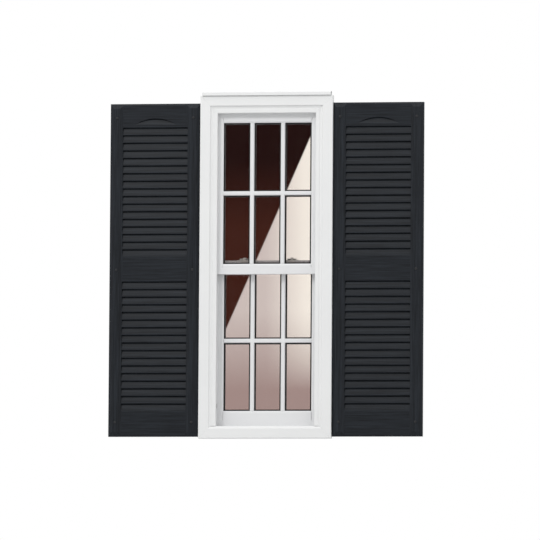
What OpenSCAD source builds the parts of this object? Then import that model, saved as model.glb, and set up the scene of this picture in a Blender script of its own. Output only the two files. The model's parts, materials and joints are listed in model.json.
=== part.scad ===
// A pair of moulded louvred shutters on both sides of a double-hung window with its frame and casing.
// X runs to the right, Y into the wall and Z up. The wall's face is the plane y = 0, and the origin is
// midway between the two shutters at half their height.

/* [Shutters] */
// Width of one shutter
shutter_w = 381; // [320:1:520]
// Height of both shutters
shutter_h = 1397; // [1000:1:1900]
// Thickness of a shutter from the wall to its front
shutter_t = 28; // [26:0.5:40]
// Wall thickness of the moulded shell
shell = 2.6; // [2:0.1:3.4]
// Width of a shutter's stile
stile_w = 54.6; // [50:0.2:80]
// Height of a shutter's top rail
top_rail_h = 100; // [80:1:150]
// Height of a shutter's bottom rail
bottom_rail_h = 106; // [60:1:150]
// Least height of a shutter's middle rail
mid_rail_min = 71; // [50:1:150]
// Height of one louvre
louvre_pitch = 32; // [26:0.5:50]
// How far a louvre's upper edge lies behind its lower edge
louvre_depth = 10.5; // [6:0.5:12]
// How far the rails lie behind the stiles
rail_drop = 5; // [3:0.5:6]
// Width of the chamfer along a shutter's sides
side_chamfer = 15; // [8:0.5:18]
// Width of the chamfer along a shutter's top and bottom
end_chamfer = 20; // [8:0.5:30]
// Depth of the chamfer around a shutter
chamfer_depth = 8; // [5:0.5:10]
// Width of the slope between a stile and the rails
stile_slope = 11; // [6:0.5:14]
// Width of the arch in the top rail
arch_w = 174; // [120:1:220]
// Rise of the arch
arch_rise = 26; // [12:1:30]
// Gap between a shutter and the casing
shutter_gap = 0.4; // [0.2:0.1:20]

/* [Casing] */
// Outer width of the window's casing
casing_w = 560; // [480:1:900]
// Face width of the casing at the head and the sides
casing_face = 73; // [66:1:100]
// Face width of the casing at the sill
casing_sill_face = 52; // [50:1:70]
// Thickness of the casing
casing_t = 32; // [28:1:45]
// How far the casing's lower edge lies below the shutters
casing_below = 8; // [0:1:60]
// How far the casing's upper edge lies above the shutters
casing_above = 31; // [0:1:80]
// Height of the drip cap's front
cap_h = 19; // [14:1:30]

/* [Frame] */
// Depth of the frame's body behind the wall's face
frame_depth = 82; // [82:1:120]
// How far the frame stands in front of the wall's face, behind the casing
frame_front = 6; // [4:1:10]
// Thickness of the frame from its outer edge to the sash track
frame_t = 17; // [14:1:30]
// How far the casing hides the sash track
track_cover = 11; // [9:1:16]

/* [Sashes] */
// Thickness of a sash
sash_t = 32; // [30:1:34]
// Width of the space between the two sashes
sash_space = 6; // [6:0.5:10]
// Face width of a sash stile
sash_stile = 30.5; // [29:0.5:50]
// Face height of the upper sash's top rail
sash_top_rail = 46; // [32:1:70]
// Face height of both meeting rails
meeting_rail = 43; // [36:1:60]
// Face height of the lower sash's bottom rail
sash_bottom_rail = 68; // [40:1:90]
// Height of the upper sash's lower edge
upper_sash_bottom = -17; // [-40:1:0]
// Height of the lower sash's upper edge
lower_sash_top = 43; // [43:1:50]
// How far each sash travels
travel = 540; // [300:5:560]
// Clearance between a sash and its track at each side
sash_side_clear = 2; // [1:0.5:4]
// Front to back clearance of a sash in its track
track_clear = 0.5; // [0.3:0.1:1]

/* [Glazing] */
// Thickness of a glass pane
pane_t = 3; // [3:0.5:4]
// Width of the sealed space between the panes
pane_gap = 13; // [10:0.5:13]
// How deep the glass sits in the sash
glass_bite = 8; // [7:0.5:10]
// Thickness of the sash's lip in front of the glass
front_lip = 7; // [5:0.5:7]
// Width of a muntin bar
muntin_w = 18; // [12:1:24]
// Height of an outer muntin bar above the glass
muntin_t = 6; // [3:0.5:6]
// Height of an inner muntin bar above the glass
inner_muntin_t = 4; // [3:0.5:5]
// Columns of panes in each sash
columns = 3; // [2:1:4]
// Rows of panes in each sash
rows = 2; // [2:2:4]

/* [Fasteners] */
// Radius of a shutter screw
screw_r = 2.4; // [2:0.1:3]
// Length of a shutter screw behind the wall's face
screw_reach = 38; // [25:1:60]
// Distance from a shutter's end to its outer screws
screw_end = 60; // [45:1:120]
// Radius of the holes for the frame's installation screws
install_hole_r = 2.6; // [2:0.1:4]
// Distance from a sash lock to the window's centre
lock_x = 100; // [90:1:120]

/* [Hidden] */
$fn = 48;
charcoal = [0.10, 0.11, 0.12];
white = [0.90, 0.90, 0.89];
dark = [0.12, 0.12, 0.12];
steel = [0.62, 0.63, 0.65];
tint = [0.30, 0.27, 0.26, 0.5];
far = 3000;      // longer than any member, for cutting prisms
seat = 0.3;      // gap of a soft or sliding piece from its seat

// Shutter heights: both banks hold as many whole louvres as fit, and the middle rail takes the rest
half_h = shutter_h / 2;
louvre_n = floor((shutter_h - top_rail_h - bottom_rail_h - mid_rail_min) / (2 * louvre_pitch));
bank_h = louvre_n * louvre_pitch;
upper_bank_top = half_h - top_rail_h;
lower_bank_top = -half_h + bottom_rail_h + bank_h;
rail_y = rail_drop - shutter_t;
field_half = shutter_w / 2 - stile_w;
slope_top_half = field_half + stile_slope;
stile_mid = (shutter_w / 2 - side_chamfer + slope_top_half) / 2;
louvre_nose = 2.5;
arch_r = (arch_w * arch_w / 4 + arch_rise * arch_rise) / (2 * arch_rise);
arch_foot = upper_bank_top + 12;
arch_depth = 9;
shutter_x = casing_w / 2 + shutter_gap + shutter_w / 2;
screw_heights = [screw_end - half_h, 0, half_h - screw_end];
head_r = 2.3 * screw_r;
head_t = 1.1 * screw_r;
shank_r = screw_r + 0.2;
hole_clear = 0.2;
boss_wall = 3;
boss_gap = 0.5;

// Casing and frame
casing_half = casing_w / 2;
profile_w = 30;    // width of the moulded part of the face, inside the flat
cove_w = 14;
groove_drop = 9;
band_drop = 7;
sill_bevel = 12;
casing_bottom = -half_h - casing_below;
casing_top = half_h + casing_above;
open_half = casing_half - casing_face;
open_top = casing_top - casing_face;
open_bottom = casing_bottom + casing_sill_face;
track_half = open_half + track_cover;
head_tuck = 3;
sill_tuck = 4;
frame_half = track_half + frame_t;
head_under = open_top + track_cover - head_tuck;
frame_top = head_under + frame_t;
sill_top = open_bottom - sill_tuck;
frame_bottom = sill_top - frame_t;
joint_gap = 0.5;
cap_nose = 9;
cap_wall = 2.5;
cap_end_gap = 8.5;
sill_fall = 3;
stop_reach = track_cover - 1;
install_y = 69;
install_spacing = 1000;
outer_y = 5;                                   // front of the upper sash
inner_y = outer_y + sash_t + sash_space;       // front of the lower sash
parting = [outer_y + sash_t + 1, inner_y - 1];
stop_y = inner_y + sash_t + 1;
frame_wall = 2;

// Sashes: [front, bottom, top, bottom rail, top rail]
sash_half = track_half - sash_side_clear;
sill_clear = 3;
lower_bottom = sill_top + sill_clear;
UPPER = [outer_y, upper_sash_bottom, head_under - seat, meeting_rail, sash_top_rail];
LOWER = [inner_y, lower_bottom, lower_sash_top, sash_bottom_rail, meeting_rail];
day_half = sash_half - sash_stile;
pocket = glass_bite + 2;
glass_y = front_lip;
unit_t = 2 * pane_t + pane_gap;
bead_y = glass_y + unit_t;
spacer_show = 6;   // how far the spacer stands out of the sash's lip
bar_show = 5.5;    // how far a spacer bar stands out beside its muntin
sash_wall = 2.2;
pile_half = 200;
lift_rail_z = 30;
lift_rail_length = 300;
stop_depth = 10;
stop_h = 20;
sash_bump = 6;

// Small screws
small_screw_r = 1.6;
small_hole_r = 1.7;
small_head_r = 3;
small_head_t = 1.4;

// Balances
tube_r = 4.5;
tube_wall = 0.8;
rod_r = 2;
groove_half = 5.2;
groove_depth = 10;
tube_x = sash_half - groove_depth / 2 + 0.1;
block_h = 22;
block_half = 4;
rod_foot = 10;
rod_grip = 10;
balance_seat_x = tube_x - tube_r + small_head_t + 0.4;
tube_top = head_under - 3;
tube_bottom = tube_top - block_h - travel - rod_grip - 2;

// Sash locks
lock_pivot_y = inner_y + 8;
lock_ear = 25;
keeper_screw_z = 24.5;
base_t = 1.5;
cam_z = lower_sash_top + base_t + 0.2;
cam_t = 3.8;
cover_t = 1.8;
cam_r = 18;
finger_r = 13.2;
finger_from = 66;
lip_r = [10.4, 12.4];
hub_r = 6;
neck_r = 4.5;
pin_r = 2;
running = 0.06;
lever_t = 3.5;
lever_length = 22;

// Shapes ------------------------------------------------------------------------------------------

// An outline given as (z, y) points, drawn along X and centred
module along_x(length) {
    rotate([0, -90, 0]) linear_extrude(length, center = true) children();
}

// An outline given as (x, z) points, drawn along Y and centred
module along_y(length) {
    rotate([90, 0, 0]) linear_extrude(length, center = true) children();
}

// A cylinder along Y from y0 to y1
module rod_y(r, y0, y1) {
    translate([0, y0, 0]) rotate([-90, 0, 0]) cylinder(r = r, h = y1 - y0);
}

// A block given by its two opposite corners
module block(low, high) {
    translate(low) cube(high - low);
}

module both_sides() {
    children();
    mirror([1, 0, 0]) children();
}

// Shutters ----------------------------------------------------------------------------------------

// The outside of a shutter, drawn in by inset: a slab with a chamfer all around its front
module shutter_slab(inset) {
    hw = shutter_w / 2 - inset;
    hh = half_h - inset;
    front = inset - shutter_t;
    shoulder = front + chamfer_depth;
    back = inset > 0 ? 1 : 0;
    intersection() {
        linear_extrude(2 * hh, center = true)
            polygon([[-hw, back], [-hw, shoulder], [side_chamfer - hw, front],
                [hw - side_chamfer, front], [hw, shoulder], [hw, back]]);
        along_x(2 * hw)
            polygon([[-hh, back], [-hh, shoulder], [end_chamfer - hh, front],
                [hh - end_chamfer, front], [hh, shoulder], [hh, back]]);
    }
}

// The space in front of the rails, grown by grow
module rail_space(grow) {
    linear_extrude(far, center = true)
        polygon([[-slope_top_half - grow - stile_slope, rail_y - 2 * rail_drop],
            [-field_half - grow, rail_y + grow], [field_half + grow, rail_y + grow],
            [slope_top_half + grow + stile_slope, rail_y - 2 * rail_drop]]);
}

// The space in front of a bank of louvres whose upper edge is at top
module louvre_space(top) {
    root_y = rail_y + louvre_depth;
    teeth = [for (i = [0 : louvre_n - 1]) let (zt = top - i * louvre_pitch, zb = zt - louvre_pitch)
        each i < louvre_n - 1
            ? [[zt, root_y], [zb + louvre_nose, rail_y], [zb, rail_y + 1]]
            : [[zt, root_y], [zb, rail_y]]];
    along_x(2 * field_half)
        polygon(concat([[top, -2 * shutter_t]], teeth, [[top - bank_h, -2 * shutter_t]]));
}

// The same space with the shell's thickness behind it, for the hollow at the back
module louvre_back(top) {
    root_y = rail_y + louvre_depth + shell;
    teeth = [for (i = [0 : louvre_n - 1]) let (zt = top - i * louvre_pitch, zb = zt - louvre_pitch)
        each [[zt, root_y], [zb + shell, rail_y + shell * 1.1], [zb + shell, root_y]]];
    along_x(2 * (field_half + shell))
        polygon(concat([[top + shell, -2 * shutter_t], [top + shell, root_y]], teeth,
            [[top - bank_h, root_y], [top - bank_h, -2 * shutter_t]]));
}

// The sloping recess under the arch in the top rail
module arch_space(grow) {
    peak = arch_foot + arch_rise;
    intersection() {
        translate([0, 0, peak - arch_r]) rod_y(arch_r + grow, -2 * shutter_t, 0, $fn = 180);
        along_x(far)
            polygon([[arch_foot - grow, -2 * shutter_t], [arch_foot - grow, rail_y + grow],
                [arch_foot, rail_y + grow], [peak + grow, rail_y + arch_depth + grow],
                [peak + grow, -2 * shutter_t]]);
    }
}

module at_screws() {
    for (x = [-stile_mid, stile_mid], z = screw_heights)
        translate([x, 0, z]) children();
}

module shutter() {
    color(charcoal) difference() {
        union() {
            difference() {
                shutter_slab(0);
                difference() {
                    shutter_slab(shell);
                    rail_space(shell);
                    louvre_back(upper_bank_top);
                    louvre_back(lower_bank_top);
                    arch_space(shell);
                }
            }
            at_screws() rod_y(shank_r + hole_clear + boss_wall, shell / 2 - shutter_t, -boss_gap);
        }
        rail_space(0);
        louvre_space(upper_bank_top);
        louvre_space(lower_bank_top);
        arch_space(0);
        at_screws() rod_y(shank_r + hole_clear, -2 * shutter_t, 1);
    }
}

// Six pan-head screws through one shutter's stiles
module shutter_screws() {
    point = 2 * screw_r;
    color(charcoal) at_screws() {
        difference() {
            rod_y(head_r, -shutter_t - head_t, -shutter_t);
            for (turn = [0, 90]) rotate([0, turn, 0])
                block([-head_r / 2, -shutter_t - head_t - 1, -0.4],
                    [head_r / 2, 0.8 - shutter_t - head_t, 0.4]);
        }
        rod_y(shank_r, -shutter_t, 0);
        rod_y(screw_r, 0, screw_reach - point);
        translate([0, screw_reach - point, 0]) rotate([-90, 0, 0])
            cylinder(r1 = screw_r, r2 = 0.4, h = point);
    }
}

module left_shutter() { translate([-shutter_x, 0, 0]) shutter(); }
module right_shutter() { translate([shutter_x, 0, 0]) shutter(); }
module left_shutter_screws() { translate([-shutter_x, 0, 0]) shutter_screws(); }
module right_shutter_screws() { translate([shutter_x, 0, 0]) shutter_screws(); }

// Casing ------------------------------------------------------------------------------------------

// Section of the casing: u runs inwards from its outer edge, y to the wall, and strip is the part of
// its back that lies on the wall
module casing_section(face, flat, strip) {
    groove_y = groove_drop - casing_t;
    band_y = band_drop - casing_t;
    band = flat + cove_w;
    cove_d = groove_drop - 1.5;
    polygon(concat(
        [[0, 0], [0, 2 - casing_t], [2, -casing_t], [flat - 1.5, -casing_t], [flat, 1.5 - casing_t]],
        [for (a = [10 : 10 : 80]) [band - cove_w * cos(a), groove_y - cove_d * (1 - sin(a))]],
        [[band - 1, groove_y], [band, band_y], [face - 1.5, band_y], [face, band_y + 1.5],
            [face, -frame_front - joint_gap], [strip, -frame_front - joint_gap], [strip, 0]]));
}

// Front outline of a side casing: mitred at the head, and at the sill as far as the sill casing goes
module casing_side_outline() {
    s = casing_sill_face;
    polygon([[-casing_half, casing_bottom], [s - casing_half, casing_bottom + s],
        [casing_face - casing_half, casing_bottom + s], [casing_face - casing_half, casing_top - casing_face],
        [-casing_half, casing_top]]);
}

side_strip = casing_half - frame_half - joint_gap;

module casing_left() {
    color(white) intersection() {
        translate([-casing_half, 0, 0]) linear_extrude(far, center = true)
            casing_section(casing_face, casing_face - profile_w, side_strip);
        along_y(far) casing_side_outline();
    }
}
module casing_right() { mirror([1, 0, 0]) casing_left(); }

module casing_head() {
    color(white) intersection() {
        translate([0, 0, casing_top]) mirror([0, 0, 1]) along_x(far)
            casing_section(casing_face, casing_face - profile_w, casing_top - frame_top - joint_gap);
        along_y(far)
            polygon([[-casing_half, casing_top], [casing_face - casing_half, casing_top - casing_face],
                [casing_half - casing_face, casing_top - casing_face], [casing_half, casing_top]]);
    }
}

module casing_sill() {
    s = casing_sill_face;
    color(white) intersection() {
        translate([0, 0, casing_bottom]) along_x(far)
            polygon([[0, 0], [0, 2 - casing_t], [2, -casing_t], [casing_face - profile_w - 1.5, -casing_t],
                [s, sill_bevel - casing_t], [s, -frame_front - joint_gap],
                [frame_bottom - casing_bottom - joint_gap, -frame_front - joint_gap],
                [frame_bottom - casing_bottom - joint_gap, 0]]);
        along_y(far) polygon([[-casing_half, casing_bottom], [s - casing_half, casing_bottom + s],
            [casing_half - s, casing_bottom + s], [casing_half, casing_bottom]]);
    }
}

// A hollow drip cap on the head casing, sloping down from the wall to a nose in front of the casing
module head_cap() {
    reach = casing_t + cap_nose;
    t = cap_wall;
    length = casing_w - 2 * cap_end_gap;
    color(white) translate([0, 0, casing_top]) difference() {
        along_x(length)
            polygon([[0, 0], [0, -reach], [cap_h - 6, -reach], [cap_h - 4, 2 - reach], [cap_h, -4],
                [cap_h, 0]]);
        along_x(length + 2)
            polygon([[t, -t], [t, t - reach], [cap_h - 6 - t, t - reach], [cap_h - t, -4 - t],
                [cap_h - t, -t]]);
    }
}

// Frame -------------------------------------------------------------------------------------------

// Section of the head and the jambs: u runs inwards from the frame's outer edge, and three stops stand
// beside the two tracks
module frame_section() {
    t = frame_t;
    s = frame_t + stop_reach;
    w = frame_wall;
    web = parting[0] - 3;
    polygon(
        points = concat(
            [[0, -frame_front], [s, -frame_front], [s, outer_y - track_clear], [t, outer_y - track_clear],
                [t, parting[0]], [s, parting[0]], [s, parting[1]], [t, parting[1]], [t, stop_y], [s, stop_y],
                [s, frame_depth], [0, frame_depth]],
            [[w, w - frame_front], [t - w, w - frame_front], [t - w, web], [w, web]],
            [[w, web + 10], [t - w, web + 10], [t - w, frame_depth - w], [w, frame_depth - w]]),
        paths = [[for (i = [0 : 11]) i], [12, 13, 14, 15], [16, 17, 18, 19]]);
}

module frame_left_jamb() {
    s = frame_t + stop_reach;
    color(white) difference() {
        intersection() {
            translate([-frame_half, 0, 0]) linear_extrude(far, center = true) frame_section();
            along_y(far) polygon([[-frame_half, frame_bottom], [frame_t - frame_half, sill_top],
                [s - frame_half, sill_top], [s - frame_half, frame_top - s], [-frame_half, frame_top]]);
        }
        for (z = [-install_spacing, install_spacing] / 2)
            translate([-frame_half - 1, install_y, z]) rotate([0, 90, 0])
                cylinder(r = install_hole_r, h = frame_t + 2);
        for (y = [outer_y, inner_y])
            translate([-track_half - frame_t / 2, y + sash_t / 2, tube_top - block_h / 2]) rotate([0, 90, 0])
                cylinder(r = small_hole_r, h = frame_t);
    }
}
module frame_right_jamb() { mirror([1, 0, 0]) frame_left_jamb(); }

module frame_head() {
    s = frame_t + stop_reach;
    color(white) intersection() {
        translate([0, 0, frame_top]) mirror([0, 0, 1]) along_x(far) frame_section();
        along_y(far) polygon([[-frame_half, frame_top], [s - frame_half, frame_top - s],
            [frame_half - s, frame_top - s], [frame_half, frame_top]]);
    }
}

// The sill slopes down towards the front, and its inner stop fills the space between the jambs' stops
module frame_sill() {
    t = frame_t;
    s = frame_t + stop_reach;
    w = frame_wall;
    color(white) difference() {
        intersection() {
            translate([0, 0, frame_bottom]) along_x(far)
                polygon([[0, -frame_front], [t - sill_fall, -frame_front], [t, inner_y - 1], [t, stop_y],
                    [s, stop_y], [s, frame_depth], [0, frame_depth]]);
            along_y(far) polygon([[-frame_half, frame_bottom], [t - frame_half, sill_top],
                [s - frame_half, sill_top], [s - frame_half, frame_bottom + s],
                [frame_half - s, frame_bottom + s], [frame_half - s, sill_top], [frame_half - t, sill_top],
                [frame_half, frame_bottom]]);
        }
        block([-far, w - frame_front, frame_bottom + w], [far, inner_y - 3, sill_top - sill_fall - w]);
        block([-far, inner_y + 3, frame_bottom + w], [far, frame_depth - w, sill_top - w]);
    }
}

// Rubber-tipped blocks on the tracks that end the sashes' travel
module sash_stops() {
    color(dark) both_sides() {
        block([-track_half, stop_y - stop_depth, lower_sash_top + travel + seat],
            [sash_bump - track_half, stop_y - 1, lower_sash_top + travel + stop_h]);
        block([-track_half, parting[0] - stop_depth, upper_sash_bottom - travel - stop_h],
            [sash_bump - track_half, parting[0] - 1.5, upper_sash_bottom - travel - seat]);
    }
}

// Balances ----------------------------------------------------------------------------------------

// A spiral balance's tube beside the sash whose front is at y: it hangs from a block on the jamb
module balance_tube(y) {
    color("silver") translate([0, y + sash_t / 2, 0]) difference() {
        union() {
            translate([-tube_x, 0, tube_bottom]) cylinder(r = tube_r, h = tube_top - tube_bottom);
            block([-track_half, -block_half, tube_top - block_h], [-tube_x, block_half, tube_top]);
        }
        translate([-tube_x, 0, tube_bottom - 1])
            cylinder(r = tube_r - tube_wall, h = tube_top - block_h - tube_bottom);
        translate([-track_half - 1, 0, tube_top - block_h / 2]) rotate([0, 90, 0]) {
            cylinder(r = small_hole_r, h = track_half);
            translate([0, 0, track_half + 1 - balance_seat_x])
                cylinder(r = small_head_r + 0.2, h = track_half);
        }
    }
}

// A balance's spiral rod and the foot that holds it in a sash's side groove
module balance_rod(S, top) {
    low = S[1] + 2;
    color("silver") translate([0, S[0] + sash_t / 2, 0]) {
        translate([-tube_x, 0, low]) cylinder(r = rod_r, h = top - low);
        block([1 - sash_half, -block_half, low], [groove_depth - sash_half, block_half, low + rod_foot]);
    }
}

module left_outer_balance_tube() { balance_tube(outer_y); }
module right_outer_balance_tube() { mirror([1, 0, 0]) balance_tube(outer_y); }
module left_inner_balance_tube() { balance_tube(inner_y); }
module right_inner_balance_tube() { mirror([1, 0, 0]) balance_tube(inner_y); }
module left_outer_balance_rod() { balance_rod(UPPER, tube_bottom + rod_grip + travel); }
module right_outer_balance_rod() { mirror([1, 0, 0]) left_outer_balance_rod(); }
module left_inner_balance_rod() { balance_rod(LOWER, tube_bottom + rod_grip); }
module right_inner_balance_rod() { mirror([1, 0, 0]) left_inner_balance_rod(); }

// A small screw along +Y or, turned, along another axis: its head's underside is at the origin
module small_screw(length) {
    rod_y(small_head_r, -small_head_t, 0, $fn = 24);
    rod_y(small_screw_r, 0, length, $fn = 24);
}

// One screw through each balance tube's block into the jamb
module balance_screws() {
    color(steel) both_sides() for (y = [outer_y, inner_y])
        translate([-balance_seat_x, y + sash_t / 2, tube_top - block_h / 2])
            rotate([0, 0, 90]) small_screw(track_half + frame_t / 2 - balance_seat_x);
}

// Sashes ------------------------------------------------------------------------------------------

// Section of a sash member: u runs inwards from its outer edge, with a sloped lip in front of the
// glass, an open pocket for it and one chamber
module sash_section(face, chamber_from) {
    inner = face - pocket;
    w = sash_wall;
    polygon(
        points = [[0, 0], [face - 6, 0], [face, 4], [face, glass_y], [inner, glass_y], [inner, sash_t],
            [0, sash_t], [chamber_from, w], [inner - w, w], [inner - w, sash_t - w],
            [chamber_from, sash_t - w]],
        paths = [[0, 1, 2, 3, 4, 5, 6], [7, 8, 9, 10]]);
}

// The grooves for the balances in both side edges of a sash
module balance_grooves(S) {
    both_sides() translate([0, S[0] + sash_t / 2, 0])
        block([-sash_half - 1, -groove_half, S[1] - 1], [groove_depth - sash_half, groove_half, S[2] + 1]);
}

// Left stile: mitred to both rails as far as the narrower of the two goes
module sash_left_stile(S) {
    low = min(sash_stile, S[3]);
    high = min(sash_stile, S[4]);
    color(white) difference() {
        intersection() {
            translate([-sash_half, S[0], 0]) linear_extrude(far, center = true)
                sash_section(sash_stile, groove_depth + sash_wall);
            along_y(far) polygon([[-sash_half, S[1]], [low - sash_half, S[1] + low],
                [-day_half, S[1] + low], [-day_half, S[2] - high], [high - sash_half, S[2] - high],
                [-sash_half, S[2]]]);
        }
        balance_grooves(S);
    }
}

// Front outline of a rail that stands on z = 0
module rail_outline(face) {
    m = min(sash_stile, face);
    polygon([[-sash_half, 0], [m - sash_half, m], [-day_half, m], [-day_half, face], [day_half, face],
        [day_half, m], [sash_half - m, m], [sash_half, 0]]);
}

module sash_bottom_member(S) {
    difference() {
        translate([0, S[0], S[1]]) intersection() {
            along_x(far) sash_section(S[3], sash_wall);
            along_y(far) rail_outline(S[3]);
        }
        balance_grooves(S);
    }
}

module sash_top_member(S) {
    difference() {
        translate([0, S[0], S[2]]) mirror([0, 0, 1]) intersection() {
            along_x(far) sash_section(S[4], sash_wall);
            along_y(far) rail_outline(S[4]);
        }
        balance_grooves(S);
    }
}

function day_bottom(S) = S[1] + S[3];
function day_top(S) = S[2] - S[4];

// One pane, whose front lies y behind the sash's front
module pane(S, y) {
    gx = day_half + glass_bite;
    color(tint) block([-gx, S[0] + y, day_bottom(S) - glass_bite],
        [gx, S[0] + y + pane_t, day_top(S) + glass_bite]);
}

module glass_spacer(S) {
    y = S[0] + glass_y + pane_t;
    edge = glass_bite - 0.5;
    in = -spacer_show;
    color(dark) difference() {
        block([-day_half - edge, y, day_bottom(S) - edge],
            [day_half + edge, y + pane_gap, day_top(S) + edge]);
        block([-day_half - in, y - 1, day_bottom(S) - in],
            [day_half + in, y + pane_gap + 1, day_top(S) + in]);
    }
}

// The bars of a grid that divides a sash's glass: the child is a bar's section as (across, y) points,
// and the bars reach past the daylight opening by extra
module grid(S, extra) {
    clear_x = (2 * day_half - (columns - 1) * muntin_w) / columns;
    clear_z = (day_top(S) - day_bottom(S) - (rows - 1) * muntin_w) / rows;
    height = day_top(S) - day_bottom(S) + 2 * extra;
    for (i = [1 : columns - 1])
        translate([i * (clear_x + muntin_w) - muntin_w / 2 - day_half, S[0], day_bottom(S) - extra])
            linear_extrude(height) children();
    for (i = [1 : rows - 1])
        translate([0, S[0], day_bottom(S) + i * (clear_z + muntin_w) - muntin_w / 2])
            along_x(2 * (day_half + extra)) children();
}

module outer_muntins(S) {
    h = muntin_w / 2;
    color(white) grid(S, 0)
        polygon([[-h, glass_y], [-h, glass_y - 1.5], [3 - h, glass_y - muntin_t],
            [h - 3, glass_y - muntin_t], [h, glass_y - 1.5], [h, glass_y]]);
}

module inner_muntins(S) {
    h = muntin_w / 2;
    color(white) grid(S, 0)
        polygon([[-h, bead_y], [h, bead_y], [h, bead_y + 1], [h - 3, bead_y + inner_muntin_t],
            [3 - h, bead_y + inner_muntin_t], [-h, bead_y + 1]]);
}

module spacer_bars(S) {
    h = muntin_w / 2 + bar_show;
    y0 = glass_y + pane_t + 1;
    y1 = y0 + pane_gap - 2;
    color(dark) grid(S, -spacer_show)
        polygon([[-h, y0], [h, y0], [h, y1], [-h, y1]]);
}

// Four snap-in strips that close the glass pocket on the room side
module glazing_beads(S) {
    y0 = S[0] + bead_y;
    y1 = S[0] + sash_t;
    px = day_half + pocket;
    color(white) {
        both_sides() block([-px, y0, day_bottom(S) + seat], [-day_half, y1, day_top(S) - seat]);
        block([-px, y0, day_bottom(S) - pocket], [px, y1, day_bottom(S)]);
        block([-px, y0, day_top(S)], [px, y1, day_top(S) + pocket]);
    }
}

module upper_sash_left_stile() { sash_left_stile(UPPER); }
module upper_sash_right_stile() { mirror([1, 0, 0]) sash_left_stile(UPPER); }
module upper_sash_top_rail() { color(white) sash_top_member(UPPER); }
module upper_sash_meeting_rail() {
    color(white) difference() {
        sash_bottom_member(UPPER);
        at_keeper_screws() rod_y(small_hole_r, -sash_t / 2, 1);
    }
}
module upper_outer_glass() { pane(UPPER, glass_y); }
module upper_inner_glass() { pane(UPPER, bead_y - pane_t); }
module upper_glass_spacer() { glass_spacer(UPPER); }
module upper_spacer_bars() { spacer_bars(UPPER); }
module upper_outer_muntins() { outer_muntins(UPPER); }
module upper_inner_muntins() { inner_muntins(UPPER); }
module upper_glazing_beads() { glazing_beads(UPPER); }

module lower_sash_left_stile() { sash_left_stile(LOWER); }
module lower_sash_right_stile() { mirror([1, 0, 0]) sash_left_stile(LOWER); }
module lower_sash_bottom_rail() { color(white) sash_bottom_member(LOWER); }
module lower_sash_meeting_rail() {
    color(white) difference() {
        sash_top_member(LOWER);
        at_lock_screws() translate([0, 0, -sash_wall - 4]) cylinder(r = small_hole_r, h = sash_wall + 8);
    }
}
module lower_outer_glass() { pane(LOWER, glass_y); }
module lower_inner_glass() { pane(LOWER, bead_y - pane_t); }
module lower_glass_spacer() { glass_spacer(LOWER); }
module lower_spacer_bars() { spacer_bars(LOWER); }
module lower_outer_muntins() { outer_muntins(LOWER); }
module lower_inner_muntins() { inner_muntins(LOWER); }
module lower_glazing_beads() { glazing_beads(LOWER); }

// A strip of pile between the two meeting rails
module meeting_rail_pile() {
    color(dark) block([-pile_half, outer_y + sash_t, upper_sash_bottom + 5],
        [pile_half, inner_y - 0.4, upper_sash_bottom + 11]);
}

// A bulb seal under the lower sash
module bottom_seal() {
    y0 = inner_y + 8;
    high = lower_bottom;
    low = sill_top + seat;
    color(dark) along_x(2 * pile_half)
        polygon([[high, y0], [high, y0 + 16], [low + 1, y0 + 16], [low, y0 + 13], [low, y0 + 3],
            [low + 1, y0]]);
}

// A finger rail on the room side of the lower sash
module lift_rail() {
    y = inner_y + sash_t;
    z = lower_bottom + lift_rail_z;
    color(white) along_x(lift_rail_length)
        polygon([[z, y], [z + 24, y], [z + 24, y + 1.5], [z + 3, y + 2.5], [z + 2, y + 8], [z + 5, y + 9.5],
            [z + 5, y + 11], [z, y + 11]]);
}

// Sash locks --------------------------------------------------------------------------------------

module at_lock_screws() {
    both_sides() for (dx = [-lock_ear, lock_ear])
        translate([dx - lock_x, lock_pivot_y + 3, lower_sash_top]) children();
}

module at_keeper_screws() {
    both_sides() for (dx = [-11, 11])
        translate([dx - lock_x, outer_y + sash_t, upper_sash_bottom + keeper_screw_z]) children();
}

// A sector of a ring around the pivot: angles run from the front, positive away from the middle
module ring_sector(r0, r1, a0, a1, z0, z1) {
    r = 3 * r1;
    intersection() {
        difference() {
            translate([0, 0, z0]) cylinder(r = r1, h = z1 - z0);
            translate([0, 0, z0 - 1]) cylinder(r = r0, h = z1 - z0 + 2);
        }
        translate([0, 0, z0]) linear_extrude(z1 - z0)
            polygon([[0, 0], for (a = [a0, (a0 + a1) / 2, a1]) [-r * sin(a), -r * cos(a)]]);
    }
}

module at_pivot() { translate([-lock_x, lock_pivot_y, 0]) children(); }

// The left lock's housing: a base with two ears, a round cover over the cam and the pivot pin
module left_lock_base() {
    z0 = lower_sash_top;
    wall = 1.6;
    top = cam_z + cam_t + 0.2;
    front = inner_y + 0.3 - lock_pivot_y;
    color(white) at_pivot() {
        difference() {
            intersection() {
                union() {
                    translate([0, 0, z0]) cylinder(r = cam_r + wall + 0.5, h = top + cover_t - z0);
                    block([-lock_ear - 6, front, z0], [lock_ear + 6, 13, z0 + base_t]);
                }
                block([-far, front, z0], [far, cam_r + 1, top + cover_t]);
            }
            translate([0, 0, z0 + base_t]) cylinder(r = cam_r + 0.5, h = top - z0 - base_t);
            translate([0, 0, top - 1]) cylinder(r = neck_r + 0.4, h = cover_t + 2);
            for (dx = [-lock_ear, lock_ear])
                translate([dx, 3, z0 - 1]) cylinder(r = small_hole_r, h = base_t + 2);
        }
        translate([0, 0, z0 + base_t / 2]) cylinder(r = pin_r, h = top + cover_t - z0 - base_t / 2);
    }
}
module right_lock_base() { mirror([1, 0, 0]) left_lock_base(); }

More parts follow.
